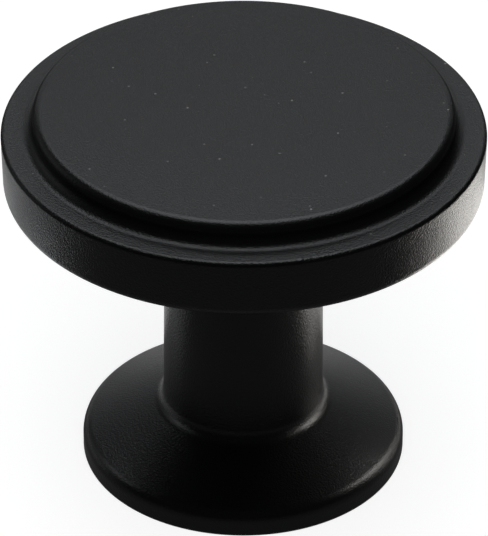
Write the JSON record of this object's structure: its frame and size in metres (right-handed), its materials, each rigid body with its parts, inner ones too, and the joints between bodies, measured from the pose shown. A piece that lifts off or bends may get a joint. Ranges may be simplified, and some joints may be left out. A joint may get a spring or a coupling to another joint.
{
  "type": "cabinet knob",
  "caption": "Round cast cabinet knob: a thick disc head with a raised round panel, a slim stem and a low conical foot with a blind tapped screw hole.",
  "frame": {"origin": "centre of the seat face, where the knob meets the drawer or door front", "axes": "+Z along the stem from the seat to the front of the head; the knob is round, so X and Y are any pair across it"},
  "size_m": [0.032, 0.032, 0.0269],
  "materials": {
    "coated_casting": "matte black powder coat with a fine grain"
  },
  "bodies": {
    "root": {"knob": "coated_casting"}
  },
  "joints": []
}
